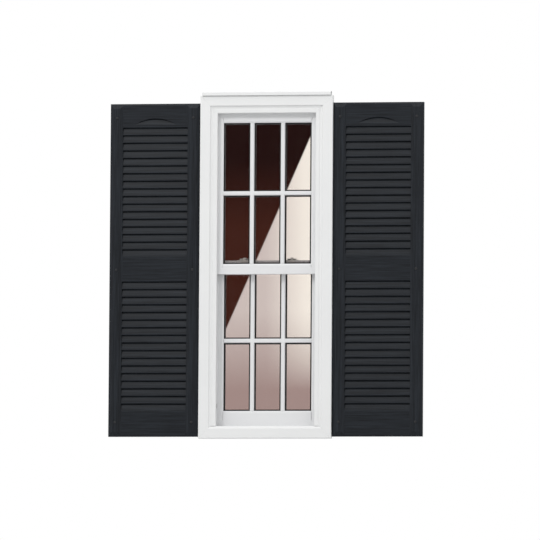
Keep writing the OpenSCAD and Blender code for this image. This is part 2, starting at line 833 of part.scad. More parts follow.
// The left lock's cam: a hub on the pin, an arm, a curved finger and the thumb lever above the cover
module left_lock_cam() {
    top = cam_z + cam_t;
    neck_top = top + cover_t + 1;
    color(white) at_pivot() difference() {
        union() {
            translate([0, 0, cam_z]) cylinder(r = hub_r, h = cam_t);
            ring_sector(finger_r, cam_r, finger_from, finger_from + 53, cam_z, top);
            ring_sector(hub_r - 1, cam_r, finger_from + 52, finger_from + 66, cam_z, top);
            translate([0, 0, top - 1]) cylinder(r = neck_r, h = neck_top - top + 1);
            translate([0, 0, neck_top]) cylinder(r = hub_r + 1, h = lever_t);
            block([-3.5, 0, neck_top], [3.5, lever_length, neck_top + lever_t]);
        }
        translate([0, 0, cam_z - 1]) cylinder(r = pin_r + running, h = neck_top - cam_z + 1);
    }
}
module right_lock_cam() { mirror([1, 0, 0]) left_lock_cam(); }

// The left keeper: a plate on the upper sash's meeting rail that holds a curved lip in the finger's way
module left_lock_keeper() {
    y0 = outer_y + sash_t;
    y1 = inner_y - 0.6;
    top = cam_z - 0.4;
    color(white) difference() {
        union() {
            translate([-lock_x, 0, 0]) {
                block([-16, y0, upper_sash_bottom + keeper_screw_z - 6], [16, y0 + 1.5, top]);
                block([-5.5, y0, top - 8], [5.5, y1, top]);
            }
            at_pivot() ring_sector(lip_r[0], lip_r[1], -19, 19, top - 1, top + cam_t + 1);
        }
        at_keeper_screws() rod_y(small_hole_r, -1, 3);
    }
}
module right_lock_keeper() { mirror([1, 0, 0]) left_lock_keeper(); }

module lock_screws() {
    color(steel) at_lock_screws() translate([0, 0, base_t]) rotate([-90, 0, 0])
        small_screw(base_t + sash_wall + 2);
}

module keeper_screws() {
    color(steel) at_keeper_screws() translate([0, 1.5, 0]) rotate([0, 0, 180]) small_screw(14);
}

left_shutter();
right_shutter();
left_shutter_screws();
right_shutter_screws();
head_cap();
casing_head();
casing_left();
casing_right();
casing_sill();
frame_head();
frame_sill();
frame_left_jamb();
frame_right_jamb();
left_outer_balance_tube();
right_outer_balance_tube();
left_inner_balance_tube();
right_inner_balance_tube();
balance_screws();
sash_stops();
upper_sash_left_stile();
upper_sash_right_stile();
upper_sash_top_rail();
upper_sash_meeting_rail();
upper_outer_glass();
upper_inner_glass();
upper_glass_spacer();
upper_spacer_bars();
upper_outer_muntins();
upper_inner_muntins();
upper_glazing_beads();
left_lock_keeper();
right_lock_keeper();
keeper_screws();
meeting_rail_pile();
left_outer_balance_rod();
right_outer_balance_rod();
lower_sash_left_stile();
lower_sash_right_stile();
lower_sash_bottom_rail();
lower_sash_meeting_rail();
lower_outer_glass();
lower_inner_glass();
lower_glass_spacer();
lower_spacer_bars();
lower_outer_muntins();
lower_inner_muntins();
lower_glazing_beads();
left_lock_base();
right_lock_base();
lock_screws();
lift_rail();
bottom_seal();
left_inner_balance_rod();
right_inner_balance_rod();
left_lock_cam();
right_lock_cam();
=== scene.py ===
"""Looks of a pair of louvred shutters and the double-hung window between them.

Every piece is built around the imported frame, in metres, in the frame's own axes: X runs to the
right, Y into the wall and Z up.
"""

import json
import math

import bmesh
import bpy
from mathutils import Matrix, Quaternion, Vector

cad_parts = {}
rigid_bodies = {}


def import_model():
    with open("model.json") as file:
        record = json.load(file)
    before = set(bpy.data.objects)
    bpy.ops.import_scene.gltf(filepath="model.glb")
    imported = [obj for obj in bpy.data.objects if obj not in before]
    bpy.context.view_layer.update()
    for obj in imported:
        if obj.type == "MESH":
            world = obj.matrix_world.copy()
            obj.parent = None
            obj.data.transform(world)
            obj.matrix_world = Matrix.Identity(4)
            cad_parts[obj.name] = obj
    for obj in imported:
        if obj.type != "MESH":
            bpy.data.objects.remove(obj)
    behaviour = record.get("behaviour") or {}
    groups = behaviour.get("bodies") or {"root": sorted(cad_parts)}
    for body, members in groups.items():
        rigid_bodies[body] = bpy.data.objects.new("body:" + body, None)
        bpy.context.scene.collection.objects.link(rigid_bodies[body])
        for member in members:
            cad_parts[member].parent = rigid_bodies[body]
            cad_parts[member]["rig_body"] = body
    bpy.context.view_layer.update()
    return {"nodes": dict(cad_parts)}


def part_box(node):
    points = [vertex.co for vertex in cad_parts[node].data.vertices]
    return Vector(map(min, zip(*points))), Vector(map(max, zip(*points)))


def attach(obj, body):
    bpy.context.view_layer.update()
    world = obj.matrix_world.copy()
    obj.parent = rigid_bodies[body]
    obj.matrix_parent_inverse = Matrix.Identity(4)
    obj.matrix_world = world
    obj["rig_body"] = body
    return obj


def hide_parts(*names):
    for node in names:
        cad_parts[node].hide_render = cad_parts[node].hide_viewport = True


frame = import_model()

bl_info = {
    "name": "Louvred shutters",
    "version": (1, 0, 0),
    "blender": (4, 5, 0),
    "location": "3D View > Sidebar > Shutters",
    "description": "Builds the shutters, casing, window and hardware around their frame",
    "category": "Object",
}

MM = 0.001
WELD = 2e-6  # corners of a node's loose triangles that are this near are joined
FLAT = math.radians(0.4)  # faces within this angle are one flat face
CORNER = math.radians(28)  # edges past this angle are rounded
SHARP = math.radians(38)  # edges past this angle stay sharp in shading

SHUTTERS = ("left_shutter", "right_shutter")
BOARDS = ("casing_head", "casing_left", "casing_right", "casing_sill", "head_cap")
FRAME_PARTS = ("frame_head", "frame_sill", "frame_left_jamb", "frame_right_jamb")
SASHES = ("upper", "lower")
UPRIGHT, LEVEL = "upright", "level"


# Node trees --------------------------------------------------------------------------------------


class Wire:
    """A node's output that takes part in plain arithmetic."""

    def __init__(self, graph, socket):
        self.graph, self.socket = graph, socket

    def maths(self, operation, *values):
        return self.graph.node("ShaderNodeMath", {"operation": operation}, dict(enumerate(values)))

    def __add__(self, other):
        return self.maths("ADD", self, other)

    def __sub__(self, other):
        return self.maths("SUBTRACT", self, other)

    def __rsub__(self, other):
        return self.maths("SUBTRACT", other, self)

    def __mul__(self, other):
        return self.maths("MULTIPLY", self, other)

    def __truediv__(self, other):
        return self.maths("DIVIDE", self, other)

    def __pow__(self, other):
        return self.maths("POWER", self, other)

    def __neg__(self):
        return self * -1.0

    def __abs__(self):
        return self.maths("ABSOLUTE", self)

    __radd__, __rmul__ = __add__, __mul__

    def cos(self):
        return self.maths("COSINE", self)

    def sin(self):
        return self.maths("SINE", self)

    def above(self, level):
        return self.maths("GREATER_THAN", self, level)

    def within(self, low=0.0, high=1.0):
        """Held between two levels."""
        return self.maths("MINIMUM", self.maths("MAXIMUM", self, low), high)

    def ramp(self, low, high):
        """The share of the way from one level to another, from 0 to 1."""
        return ((self - low) / (high - low)).within()


class Graph:
    """Adds nodes to a tree: a node's settings are set first, then its sockets' values or links."""

    def __init__(self, tree):
        self.tree = tree

    def plug(self, socket, value):
        if isinstance(value, (list, tuple)) and value and isinstance(value[0], Wire):
            for wire in value:
                self.tree.links.new(wire.socket, socket)
        elif isinstance(value, Wire):
            self.tree.links.new(value.socket, socket)
        else:
            socket.default_value = value

    def node(self, kind, settings=None, sockets=None, output=0):
        made = self.tree.nodes.new(kind)
        for name, value in (settings or {}).items():
            if name == "stops":
                for stop, (place, colour) in zip(made.color_ramp.elements, value):
                    stop.position, stop.color = place, colour
            else:
                setattr(made, name, value)
        for key, value in (sockets or {}).items():
            self.plug(made.inputs[key], value)
        return Wire(self, made.outputs[output])

    def vector(self, x, y, z):
        return self.node("ShaderNodeCombineXYZ", None, {0: x, 1: y, 2: z})

    def parts(self, vector):
        """The three numbers of a vector."""
        split = self.node("ShaderNodeSeparateXYZ", None, {0: vector}).socket.node
        return [Wire(self, socket) for socket in split.outputs]

    def mix(self, share, low, high):
        """A colour between two colours."""
        return self.node(
            "ShaderNodeMix", {"data_type": "RGBA"}, {0: share, 6: low, 7: high}, output=2
        )


class Finish(Graph):
    """A material on one Principled shader, with patterns on Object coordinates."""

    def __init__(self, name, **constants):
        self.material = bpy.data.materials.new(name)
        self.material.use_nodes = True
        super().__init__(self.material.node_tree)
        self.shader = self.tree.nodes["Principled BSDF"]
        for name, value in constants.items():
            self.shader.inputs[name.replace("_", " ")].default_value = value
        self.place = self.node("ShaderNodeTexCoord", output=3)

    def noise(self, scale, detail=2.0, roughness=0.5, stretch=None):
        """Noise from 0 to 1; stretch is how fine the pattern is along X, Y and Z."""
        place = self.place
        if stretch is not None:
            place = self.node("ShaderNodeMapping", None, {"Vector": place, "Scale": stretch})
        return self.node(
            "ShaderNodeTexNoise",
            None,
            {"Vector": place, "Scale": scale, "Detail": detail, "Roughness": roughness},
        )

    def colour(self, share, low, high):
        self.plug(self.shader.inputs["Base Color"], self.mix(share, opaque(low), opaque(high)))

    def roughness(self, wire):
        self.plug(self.shader.inputs["Roughness"], wire)

    def bump(self, height, depth):
        """Relief of the given depth, in metres, from a height of 0 to 1."""
        relief = self.node(
            "ShaderNodeBump", None, {"Strength": 1.0, "Distance": depth, "Height": height}
        )
        self.plug(self.shader.inputs["Normal"], relief)


def opaque(colour):
    return (*colour[:3], 1.0)


def geometry_tree(name, sizes, counts=()):
    """An empty geometry tree, and the wires of its inputs: geometry, sizes, counts and a material."""
    tree = bpy.data.node_groups.new(name, "GeometryNodeTree")
    inputs = {"Geometry": "Geometry", **dict.fromkeys(sizes, "Float"), **dict.fromkeys(counts, "Int")}
    for label, kind in {**inputs, "Material": "Material"}.items():
        tree.interface.new_socket(label, in_out="INPUT", socket_type="NodeSocket" + kind)
    tree.interface.new_socket("Geometry", in_out="OUTPUT", socket_type="NodeSocketGeometry")
    graph = Graph(tree)
    given = tree.nodes.new("NodeGroupInput")
    return graph, {socket.name: Wire(graph, socket) for socket in given.outputs if socket.name}


def close_tree(graph, geometry, material):
    """Ends a geometry tree: real geometry, with its material."""
    real = graph.node("GeometryNodeRealizeInstances", None, {"Geometry": geometry})
    painted = graph.node("GeometryNodeSetMaterial", None, {"Geometry": real, "Material": material})
    graph.plug(graph.tree.nodes.new("NodeGroupOutput").inputs[0], painted)
    return graph.tree


def raised(graph, geometry, rise):
    """A geometry tree's shape, moved up."""
    offset = graph.vector(0.0, 0.0, rise)
    return graph.node("GeometryNodeTransform", None, {"Geometry": geometry, "Translation": offset})


# Meshes ------------------------------------------------------------------------------------------


def add_object(name, data):
    made = bpy.data.objects.new(name, data)
    bpy.context.scene.collection.objects.link(made)
    return made


def baked(piece):
    """Turns a piece's modifiers into a plain mesh."""
    bpy.context.view_layer.update()
    graph = bpy.context.evaluated_depsgraph_get()
    mesh = bpy.data.meshes.new_from_object(piece.evaluated_get(graph), depsgraph=graph)
    piece.modifiers.clear()
    piece.data = mesh
    mesh.name = piece.name
    return piece


def smooth(mesh):
    mesh.shade_smooth()
    mesh.set_sharp_from_angle(angle=SHARP)


def grow(name, mesh, tree, sizes):
    """A plain mesh that a geometry tree makes from a mesh, with the tree's inputs set."""
    piece = add_object(name, mesh)
    modifier = piece.modifiers.new("Shape", "NODES")
    modifier.node_group = tree
    for item in tree.interface.items_tree:
        if item.in_out == "INPUT" and item.name in sizes:
            modifier[item.identifier] = sizes[item.name]
    baked(piece)
    smooth(piece.data)
    return piece


def merged(node):
    """A node's surface, with its loose triangles joined into whole flat faces."""
    mesh = bpy.data.meshes.new(node + "_faces")
    shape = bmesh.new()
    shape.from_mesh(frame["nodes"][node].data)
    bmesh.ops.remove_doubles(shape, verts=shape.verts, dist=WELD)
    bmesh.ops.dissolve_limit(shape, angle_limit=FLAT, verts=shape.verts, edges=shape.edges)
    shape.to_mesh(mesh)
    shape.free()
    return mesh


def add_rounding(piece, radius, steps=2):
    """Rounds a piece's edges with a modifier."""
    rounding = piece.modifiers.new("Rounding", "BEVEL")
    rounding.width = radius
    rounding.segments = steps
    rounding.limit_method = "ANGLE"
    rounding.angle_limit = CORNER
    rounding.use_clamp_overlap = False
    rounding.harden_normals = True


def paint(piece, material):
    """Leaves a piece with one material."""
    piece.data.materials.clear()
    piece.data.materials.append(material)


def ride_for(piece, node):
    """Makes a piece stand for a node, on the node's body."""
    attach(piece, frame["nodes"][node]["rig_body"])
    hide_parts(node)


def finished(node, radius, material, steps=2):
    """A node's shape with its edges rounded and its finish on."""
    piece = add_object(node + "_finished", merged(node))
    add_rounding(piece, radius, steps)
    baked(piece)
    paint(piece, material)
    ride_for(piece, node)


def extruded(name, outline, low, high):
    """A closed bar along X with its ends at low and high, from an outline of (y, z) points."""
    mesh = bpy.data.meshes.new(name)
    shape = bmesh.new()
    ends = [[shape.verts.new((x, y, z)) for y, z in outline] for x in (low, high)]
    count = len(outline)
    for i in range(count):
        j = (i + 1) % count
        shape.faces.new((ends[0][i], ends[0][j], ends[1][j], ends[1][i]))
    shape.faces.new(ends[0])
    shape.faces.new(ends[1][::-1])
    bmesh.ops.recalc_face_normals(shape, faces=shape.faces)
    shape.to_mesh(mesh)
    shape.free()
    return mesh


def box_mesh(name, low, high):
    """A closed box between two corners."""
    outline = [(low.y, low.z), (high.y, low.z), (high.y, high.z), (low.y, high.z)]
    return extruded(name, outline, low.x, high.x)


def points_mesh(name, places, aims):
    """Loose points, each with the direction that its instance looks along."""
    mesh = bpy.data.meshes.new(name)
    mesh.from_pydata([tuple(place) for place in places], [], [])
    aim = mesh.attributes.new("aim", "FLOAT_VECTOR", "POINT")
    aim.data.foreach_set("vector", [number for direction in aims for number in direction])
    return mesh


# Finishes ----------------------------------------------------------------------------------------


def moulded_vinyl(settings):
    """Charcoal vinyl with a fine grain, upright on the stiles and level on the rails and louvres."""
    finish = Finish("charcoal_vinyl", Specular_IOR_Level=settings.gloss)
    x, y, z = finish.parts(finish.place)
    low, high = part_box(SHUTTERS[1])
    middle = (low.x + high.x) / 2
    lap, change = 1.0 * MM, 1.667 * MM  # the stiles' grain starts inside their edge, over a short way
    field = (high.x - low.x) / 2 - settings.stile - lap
    stile = abs(abs(x) - middle).ramp(field, field + change)
    upright = finish.noise(1.0, 5.0, 0.62, (620, 300, 9))
    level = finish.noise(1.0, 5.0, 0.62, (9, 300, 620))
    grain = stile * upright + (1.0 - stile) * level
    streaks_up = finish.noise(1.0, 4.0, 0.7, (150, 90, 3.5))
    streaks_level = finish.noise(1.0, 4.0, 0.7, (3.5, 90, 150))
    streaks = stile * streaks_up + (1.0 - stile) * streaks_level
    speck = finish.noise(900.0, 2.0)
    shade = (0.42 + (grain - 0.5) * 2.6 + (streaks - 0.5) * 2.0).within()
    finish.colour(shade, settings.dark, settings.light)
    finish.roughness(0.40 + 0.16 * grain + 0.08 * speck)
    finish.bump(grain * 0.9 + speck * 0.1 + streaks * 0.4, settings.grain)
    return finish.material


def board_finish(settings):
    """Satin white cellular board, faintly clouded, with a fine orange peel."""
    finish = Finish("white_casing")
    cloud = finish.noise(5.0, 3.0)
    peel = finish.noise(420.0, 3.0, 0.6)
    dust = finish.noise(28.0, 5.0, 0.7)
    finish.colour((cloud * 0.7 + dust * 0.3), settings.board_low, settings.board)
    finish.roughness(0.40 + 0.12 * cloud + 0.10 * peel)
    finish.bump(peel * 0.7 + dust * 0.3, 0.00006)
    return finish.material


def extruded_vinyl(settings, direction):
    """White extruded vinyl, with faint die lines along a member's length."""
    finish = Finish("white_vinyl_" + direction)
    stretch = (800, 800, 2.0) if direction == UPRIGHT else (2.0, 800, 800)
    lines = finish.noise(1.0, 2.0, 0.5, stretch)
    cloud = finish.noise(7.0, 3.0)
    peel = finish.noise(600.0, 2.0)
    finish.colour((cloud * 0.8 + lines * 0.2), settings.vinyl_low, settings.vinyl)
    finish.roughness(0.26 + 0.10 * cloud + 0.08 * lines)
    finish.bump(lines * 0.6 + peel * 0.4, 0.00003)
    return finish.material


def pane_finish(settings, name, veil):
    """Tinted float glass: what lies behind shows, under a veil of dust, with a wavy gloss."""
    finish = Finish(name)
    tree = finish.tree
    tree.nodes.remove(finish.shader)
    waves = finish.noise(3.2, 1.0, 0.4)
    ripple = finish.node(
        "ShaderNodeBump", None, {"Strength": 1.0, "Distance": settings.wave, "Height": waves}
    )
    clouds = finish.noise(4.0, 3.0, 0.55)
    fine = finish.noise(240.0, 3.0, 0.6)
    dust = (veil * (0.55 + clouds * 0.6 + fine * 0.3)).within(0.0, 0.9)
    see = finish.node("ShaderNodeBsdfTransparent", None, {"Color": opaque(settings.tint)})
    film = finish.node(
        "ShaderNodeBsdfDiffuse",
        None,
        {"Color": finish.mix(clouds, opaque(settings.dust_low), opaque(settings.dust))},
    )
    gloss = finish.node(
        "ShaderNodeBsdfGlossy",
        None,
        {"Color": (1.0, 1.0, 1.0, 1.0), "Roughness": 0.03, "Normal": ripple},
    )
    fresnel = finish.node("ShaderNodeFresnel", None, {"IOR": 1.5, "Normal": ripple})
    body = finish.node("ShaderNodeMixShader", None, {0: dust, 1: see, 2: film})
    whole = finish.node("ShaderNodeMixShader", None, {0: fresnel * settings.mirror, 1: body, 2: gloss})
    finish.plug(tree.nodes["Material Output"].inputs["Surface"], whole)
    return finish.material


def spacer_finish():
    """Matt black spacer bar, faintly brushed along its length."""
    finish = Finish("dark_spacer")
    brush = finish.noise(1.0, 3.0, 0.6, (300, 900, 300))
    finish.colour(brush, (0.003, 0.003, 0.003), (0.011, 0.0105, 0.0105))
    finish.roughness(0.42 + 0.2 * brush)
    finish.bump(brush, 0.00003)
    return finish.material


def rubber_finish():
    """Matt black rubber with a powdery bloom."""
    finish = Finish("dark_rubber")
    bloom = finish.noise(60.0, 4.0, 0.65)
    pores = finish.noise(1400.0, 2.0)
    finish.colour(bloom, (0.016, 0.016, 0.016), (0.045, 0.044, 0.043))
    finish.roughness(0.62 + 0.25 * bloom)
    finish.bump(pores, 0.00008)
    return finish.material


def pile_finish():
    """Grey woven pile; each tuft has its own shade."""
    finish = Finish("grey_pile", Sheen_Weight=0.4)
    tuft = finish.noise(1500.0, 1.0)
    run = finish.noise(30.0, 2.0)
    finish.colour(tuft * 0.7 + run * 0.3, (0.10, 0.10, 0.105), (0.34, 0.34, 0.35))
    finish.roughness(0.82 + 0.12 * tuft)
    return finish.material


def zinc_finish(name, spangle, low, high, rough):
    """Zinc on steel: crystals of the given size, each with its own gloss."""
    finish = Finish(name, Metallic=1.0)
    crystals = finish.node(
        "ShaderNodeTexVoronoi", None, {"Vector": finish.place, "Scale": 1.0 / spangle}, output=1
    )
    flake = finish.parts(crystals)[0]
    haze = finish.noise(70.0, 4.0, 0.6)
    finish.colour(flake * 0.5 + haze * 0.5, low, high)
    finish.roughness(rough + 0.18 * flake + 0.14 * haze)
    finish.bump(haze, 0.00003)
    return finish.material


def painted_screw_finish():
    """Black paint on a screw, slightly lumpy."""
    finish = Finish("black_screw")
    lumps = finish.noise(500.0, 3.0, 0.6)
    finish.colour(lumps, (0.006, 0.007, 0.009), (0.018, 0.019, 0.022))
    finish.roughness(0.48 + 0.22 * lumps)
    finish.bump(lumps, 0.00006)
    return finish.material


def enamel_finish():
    """White enamel on a die casting, with an orange peel."""
    finish = Finish("lock_metal", Coat_Weight=0.4, Coat_Roughness=0.12)
    peel = finish.noise(700.0, 2.0)
    cloud = finish.noise(40.0, 3.0)
    finish.colour(cloud, (0.70, 0.69, 0.66), (0.82, 0.81, 0.78))
    finish.roughness(0.26 + 0.12 * peel)
    finish.bump(peel, 0.00005)
    return finish.material


# Settings ----------------------------------------------------------------------------------------


def colour_property(name, description, default):
    return bpy.props.FloatVectorProperty(
        name=name, description=description, default=default, size=3, min=0, max=1, subtype="COLOR"
    )


def length_property(name, description, default):
    return bpy.props.FloatProperty(
        name=name, description=description, default=default, min=0, precision=5, unit="LENGTH"
    )


def share_property(name, description, default):
    return bpy.props.FloatProperty(
        name=name, description=description, default=default, min=0, max=1, subtype="FACTOR"
    )


def angle_property(name, description, degrees):
    return bpy.props.FloatProperty(
        name=name, description=description, default=math.radians(degrees), unit="ROTATION"
    )


class ShutterSettings(bpy.types.PropertyGroup):
    dark: colour_property("Dark grain", "Colour in the grain's hollows", (0.0022, 0.0034, 0.0056))
    light: colour_property("Light grain", "Colour on the grain's ridges", (0.0175, 0.0220, 0.0290))
    gloss: share_property("Gloss", "Specular level of the moulded vinyl", 0.24)
    grain: length_property("Grain depth", "Depth of the moulded grain", 0.00022)
    stile: length_property("Stile width", "Width of a shutter's stile", 0.0546)
    pitch: length_property("Louvre pitch", "Height of one louvre", 0.032)
    wall: length_property("Wall", "Thickness of the moulded wall", 0.0026)
    drop: length_property("Rail drop", "How far the rails lie behind the stiles", 0.005)
    depth: length_property("Louvre depth", "How far a louvre slopes back", 0.0105)
    nose: length_property("Louvre nose", "Height of the rounded lower edge of a louvre", 0.0025)
    top_rail: length_property("Top rail", "Height of the top rail", 0.100)
    bottom_rail: length_property("Bottom rail", "Height of the bottom rail", 0.106)
    slats: bpy.props.IntProperty(name="Louvres", description="Louvres in a bank", default=17, min=1)
    rounding: length_property("Rounding", "Radius on the moulding's edges", 0.0007)


class JoinerySettings(bpy.types.PropertyGroup):
    board: colour_property("Casing", "Colour of the casing boards", (0.86, 0.865, 0.862))
    board_low: colour_property("Casing shade", "Darkest cloud on the casing", (0.80, 0.806, 0.806))
    vinyl: colour_property("Vinyl", "Colour of the frame and the sashes", (0.83, 0.835, 0.84))
    vinyl_low: colour_property("Vinyl shade", "Darkest cloud on the vinyl", (0.775, 0.78, 0.79))
    board_edge: length_property("Casing edge", "Radius on the edges of the casing", 0.0008)
    vinyl_edge: length_property("Vinyl edge", "Radius on the edges of the vinyl", 0.0005)


class GlazingSettings(bpy.types.PropertyGroup):
    tint: colour_property("Tint", "Light that passes one face of the glass", (0.955, 0.945, 0.94))
    dust: colour_property("Dust", "Colour of the dust on the glass", (0.58, 0.52, 0.51))
    dust_low: colour_property("Dust shade", "Colour of the thinnest dust", (0.40, 0.33, 0.32))
    outer_veil: share_property("Outer dust", "Share of the outer pane veiled by dust", 0.002)
    inner_veil: share_property("Inner dust", "Share of the inner pane veiled by dust", 0.002)
    mirror: share_property("Reflection", "Share of the glass's natural reflection", 0.5)
    wave: length_property("Wave", "Height of the waves in the glass", 0.0006)
    edge: length_property("Glass edge", "Radius on the edges of the glass", 0.0004)


class HardwareSettings(bpy.types.PropertyGroup):
    head: length_property("Shutter screw head", "Radius of a shutter screw's head", 0.00552)
    head_height: length_property("Head height", "Height of a shutter screw's head", 0.00264)
    shank: length_property("Shank", "Radius of the plain shank", 0.0026)
    thread: length_property("Thread", "Radius of the thread", 0.0024)
    small_head: length_property("Small screw head", "Radius of a small screw's head", 0.003)
    small_height: length_property("Small head height", "Height of a small screw's head", 0.0014)
    small_thread: length_property("Small thread", "Radius of a small screw's thread", 0.0016)
    pitch: length_property("Thread pitch", "Distance between two turns of a thread", 0.0018)
    rod_width: length_property("Rod width", "Width of a balance's spiral rod", 0.0038)
    rod_thickness: length_property("Rod thickness", "Thickness of a spiral rod", 0.0013)
    rod_pitch: length_property("Rod pitch", "Length of one turn of a spiral rod", 0.026)
    rod_offset: length_property("Rod offset", "From a tube's near side to its rod's axis", 0.0045)
    foot: length_property("Foot height", "Height of the foot that holds a spiral rod", 0.010)
    foot_edge: length_property("Foot edge", "Radius on the edges of a rod's foot", 0.0008)
    tube_edge: length_property("Tube edge", "Radius on the edges of a balance tube", 0.00025)
    lock_edge: length_property("Lock edge", "Radius on the edges of the locks", 0.00035)
    stop_edge: length_property("Stop edge", "Radius on the edges of the rubber stops", 0.0009)
    bristle: length_property("Bristle spacing", "Distance between two tufts of pile", 0.0011)
    seed: bpy.props.IntProperty(name="Seed", description="Seed of the pile's lean", default=7)


class StageSettings(bpy.types.PropertyGroup):
    floor: length_property("Floor depth", "How far the floor lies below the origin", 40.0)
    reach: length_property("Floor reach", "How far the floor goes to each side", 900.0)
    ambient: share_property("Ambient light", "Brightness of the room around", 0.80)
    key: bpy.props.FloatProperty(
        name="Key light", description="Power of the key light", default=205, min=0, unit="POWER"
    )
    key_azimuth: angle_property("Key azimuth", "Key light's angle to the right", -20)
    key_elevation: angle_property("Key elevation", "Key light's angle above", 36)
    key_distance: length_property("Key distance", "Key light's distance from the object", 9.0)
    key_size: length_property("Key size", "Width of the key light", 1.9)
    azimuth: angle_property("Azimuth", "Camera's angle to the right", 8)
    elevation: angle_property("Elevation", "Camera's angle above", -4.5)
    flag: angle_property("Black flag", "Radius of the dark patch that the glass mirrors", 24)
    distance: length_property("Distance", "Camera's distance from the object", 30.0)
    view: length_property("View", "Width of the camera's view at the object", 2.254)
    aim: bpy.props.FloatVectorProperty(
        name="Aim",
        description="Point that the camera looks at",
        default=(0.0185, -0.028, -0.003),
        precision=4,
        subtype="TRANSLATION",
        unit="LENGTH",
    )


GROUPS = {
    "shutter_look": ShutterSettings,
    "joinery_look": JoinerySettings,
    "glazing_look": GlazingSettings,
    "hardware_look": HardwareSettings,
    "stage_look": StageSettings,
}


# Geometry trees ----------------------------------------------------------------------------------


def slat_tree():
    """Slats: a section is drawn out along X, and repeated downwards."""
    graph, given = geometry_tree("slats", ("Length", "Pitch"), ("Slats",))
    section = given["Geometry"]
    drawn = graph.node(
        "GeometryNodeExtrudeMesh",
        {"mode": "FACES"},
        {"Mesh": section, "Offset": graph.vector(given["Length"], 0.0, 0.0), "Individual": False},
    )
    back = graph.node("GeometryNodeFlipFaces", None, {"Mesh": section})
    slat = graph.node("GeometryNodeJoinGeometry", None, {0: [drawn, back]})
    slat = graph.node("GeometryNodeMergeByDistance", None, {"Geometry": slat, "Distance": 1e-6})
    row = graph.node(
        "GeometryNodeMeshLine",
        None,
        {"Count": given["Slats"], "Offset": graph.vector(0.0, 0.0, -given["Pitch"])},
    )
    bank = graph.node("GeometryNodeInstanceOnPoints", None, {"Points": row, "Instance": slat})
    return close_tree(graph, bank, given["Material"])


def screw_tree():
    """Pan-head screws with a cross recess, a plain shank, a thread and a point, along "aim"."""
    sizes = ("Head Radius", "Head Height", "Shank Radius", "Plain Length", "Length")
    graph, given = geometry_tree("screws", (*sizes, "Thread Radius", "Thread Pitch"))
    radius, height = given["Head Radius"], given["Head Height"]
    grid = graph.node(
        "GeometryNodeMeshGrid", None, {"Size X": 1.0, "Size Y": 1.0, "Vertices X": 12, "Vertices Y": 33}
    )
    under = 0.15  # share of the grid that makes the head's flat underside; the rest is its dome
    side, top = 0.42, 0.6  # how full the dome is at its side and at its top
    out, turn, _ = graph.parts(graph.node("GeometryNodeInputPosition"))
    rim = ((out + 0.5) / under).within()
    lift = ((out + 0.5 - under) / (1.0 - under)).within(0.0, 0.999) * (math.pi / 2)
    reach = radius * rim * lift.cos() ** side
    around = (turn + 0.5) * (2 * math.pi)
    lathed = graph.vector(reach * around.cos(), reach * around.sin(), height * lift.sin() ** top)
    head = graph.node("GeometryNodeSetPosition", None, {"Geometry": grid, "Position": lathed})
    head = graph.node("GeometryNodeMergeByDistance", None, {"Geometry": head, "Distance": 5e-6})
    head = graph.node("GeometryNodeFlipFaces", None, {"Mesh": head})
    narrow, wide, centre = 0.15, 1.05, 0.93  # the recess, as shares of the head's radius and height
    slots = []
    for across, along in ((narrow, wide), (wide, narrow)):
        size = graph.vector(radius * across, radius * along, height)
        slot = graph.node("GeometryNodeMeshCube", None, {"Size": size})
        slots.append(raised(graph, slot, height * centre))
    head = graph.node(
        "GeometryNodeMeshBoolean",
        {"operation": "DIFFERENCE", "solver": "EXACT"},
        {"Mesh 1": head, "Mesh 2": slots},
    )
    thread, pitch = given["Thread Radius"], given["Thread Pitch"]
    length, plain = given["Length"], given["Plain Length"]
    point = thread * 2.0
    threaded = length - plain - point
    root, end = thread * 0.74, 0.2 * MM  # radius below the thread, and of the point's end
    lap = 0.2 * MM  # how far a part of the screw goes into the part above it

    def rod(start, depth, radius, end_radius):
        """A round part that goes down from a height."""
        sizes = {"Vertices": 20, "Radius Top": radius, "Radius Bottom": end_radius, "Depth": depth}
        return raised(graph, graph.node("GeometryNodeMeshCone", None, sizes), start - depth)

    shank = rod(lap, plain + lap, given["Shank Radius"], given["Shank Radius"])
    core = rod(-plain + lap, threaded + lap, root, root)
    tip = rod(point - length, point, root, end)
    spiral = graph.node(
        "GeometryNodeCurveSpiral",
        None,
        {
            "Resolution": 12,
            "Rotations": threaded / pitch,
            "Start Radius": thread * 0.58,
            "End Radius": thread * 0.78,
            "Height": threaded,
        },
    )
    ridge = graph.node(
        "GeometryNodeCurvePrimitiveCircle", None, {"Resolution": 3, "Radius": thread * 0.22}
    )
    ridge = graph.node(
        "GeometryNodeCurveToMesh", None, {"Curve": spiral, "Profile Curve": ridge, "Fill Caps": True}
    )
    ridge = raised(graph, ridge, point - length)
    screw = graph.node("GeometryNodeJoinGeometry", None, {0: [head, shank, core, tip, ridge]})
    aim = graph.node(
        "GeometryNodeInputNamedAttribute", {"data_type": "FLOAT_VECTOR"}, {"Name": "aim"}
    )
    turned = graph.node("FunctionNodeAlignRotationToVector", {"axis": "Z"}, {"Vector": aim})
    sockets = {"Points": given["Geometry"], "Instance": screw, "Rotation": turned}
    placed = graph.node("GeometryNodeInstanceOnPoints", None, sockets)
    return close_tree(graph, placed, given["Material"])


